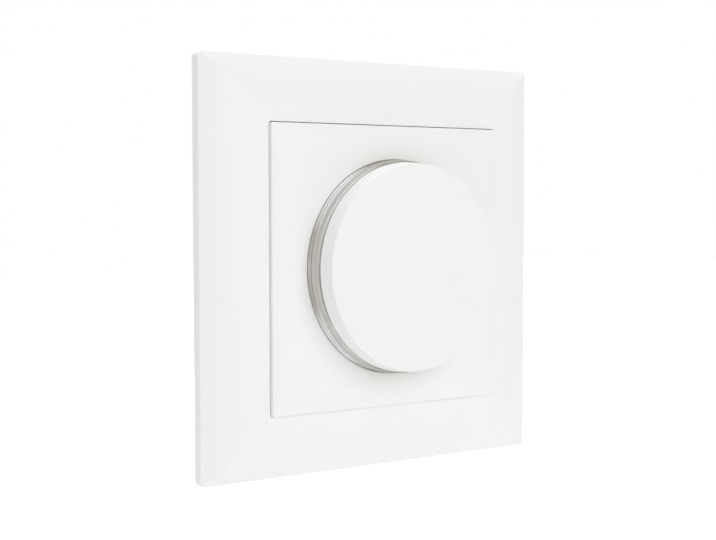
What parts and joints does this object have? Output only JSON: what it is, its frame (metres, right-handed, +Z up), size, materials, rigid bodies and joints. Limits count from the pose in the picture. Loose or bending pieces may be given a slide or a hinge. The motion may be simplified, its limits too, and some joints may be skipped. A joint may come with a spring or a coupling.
{
  "type": "rotary dimmer switch",
  "caption": "Flush wall rotary dimmer: square crowned cover frame, centre plate and a large push-and-turn knob with a clear light ring.",
  "frame": {"origin": "centre of the wall plane, midway between the two box screw holes, on the knob's axis", "axes": "-Y forward into the room along the knob's axis, +Y into the wall box, +Z up, +X to the right as seen from the room"},
  "size_m": [0.0805, 0.0409, 0.0805],
  "materials": {
    "white_plastic": "satin white moulded plastic",
    "clear_plastic": "clear moulded light guide",
    "housing_plastic": "fine matt grey moulded plastic",
    "black_plastic": "black moulded plastic",
    "terminal_plastic": "light grey moulded plastic",
    "zinc_steel": "bright zinc plated steel",
    "screw_steel": "plated screw steel",
    "brass": "plain turned brass",
    "aluminium": "mill finish",
    "board_green": "green solder mask",
    "lamp_white": "pale lamp resin",
    "ferrite": "coated iron powder",
    "copper": "enamelled copper wire"
  },
  "bodies": {
    "insert": {"cover_frame": "white_plastic", "centre_plate": "white_plastic", "light_ring": "clear_plastic", "encoder_bushing": "zinc_steel", "lock_washer": "zinc_steel", "hex_nut": "zinc_steel", "encoder_case": "black_plastic", "detent_spring": "zinc_steel", "encoder_pins": "brass", "switch_base": "black_plastic", "switch_dome": "zinc_steel", "support_ring": "zinc_steel", "insert_housing": "housing_plastic", "insert_cover": "housing_plastic", "housing_screws": "screw_steel", "circuit_board": "board_green", "control_chip": "black_plastic", "led_board": "board_green", "ring_leds": "lamp_white", "link_pins": "brass", "link_spacer": "black_plastic", "choke_core": "ferrite", "choke_winding": "copper", "film_capacitor": "terminal_plastic", "fuse_link": "black_plastic", "power_transistors": "black_plastic", "heat_spreader": "aluminium", "terminal_block": "terminal_plastic", "terminal_clamps": "brass", "terminal_screws": "screw_steel"},
    "wheel": {"detent_wheel": "terminal_plastic"},
    "knob": {"knob_cap": "white_plastic", "shaft_clip": "zinc_steel", "spindle": "aluminium"},
    "plunger": {"switch_plunger": "terminal_plastic"}
  },
  "joints": [
    {"name": "knob_turn", "type": "hinge", "parent": "insert", "child": "wheel", "pos_m": [0, 0, 0], "axis": [0, 1, 0], "continuous": true},
    {"name": "knob_press", "type": "slide", "parent": "wheel", "child": "knob", "axis": [0, 1, 0], "range_m": [0, 0.0005], "stiffness_N_per_m": 3000, "springref_m": -0.001},
    {"name": "plunger_slide", "type": "slide", "parent": "insert", "child": "plunger", "axis": [0, 1, 0], "range_m": [0, 0.0005], "deforming": ["switch_dome"]}
  ],
  "couplings": [
    {"joint": "plunger_slide", "follows": "knob_press", "ratio": 1}
  ]
}
